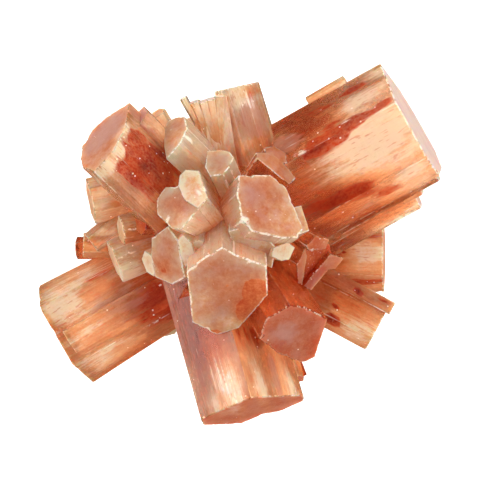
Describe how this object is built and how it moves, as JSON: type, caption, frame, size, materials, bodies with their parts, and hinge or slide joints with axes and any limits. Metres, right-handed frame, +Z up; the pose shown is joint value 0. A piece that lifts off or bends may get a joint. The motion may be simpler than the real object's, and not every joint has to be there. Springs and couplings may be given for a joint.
{
  "type": "aragonite sputnik cluster",
  "caption": "Radiating cluster of stout, flat-ended orange aragonite prisms grown out of one centre, resting on the flat end of a lower crystal.",
  "frame": {"origin": "on the surface that the cluster rests on, under the middle of its outline", "axes": "+Z up; +X along the long way of the cluster, between its two longest arms; +Y across it, towards the straight arm beside the fan of needles"},
  "size_m": [0.0508, 0.0448, 0.0336],
  "materials": {
    "aragonite": "translucent, cream and peach to iron-stained orange-red, finely ridged along each crystal, with flat satin ends"
  },
  "bodies": {
    "root": {"aragonite_cluster": "aragonite"}
  },
  "joints": []
}
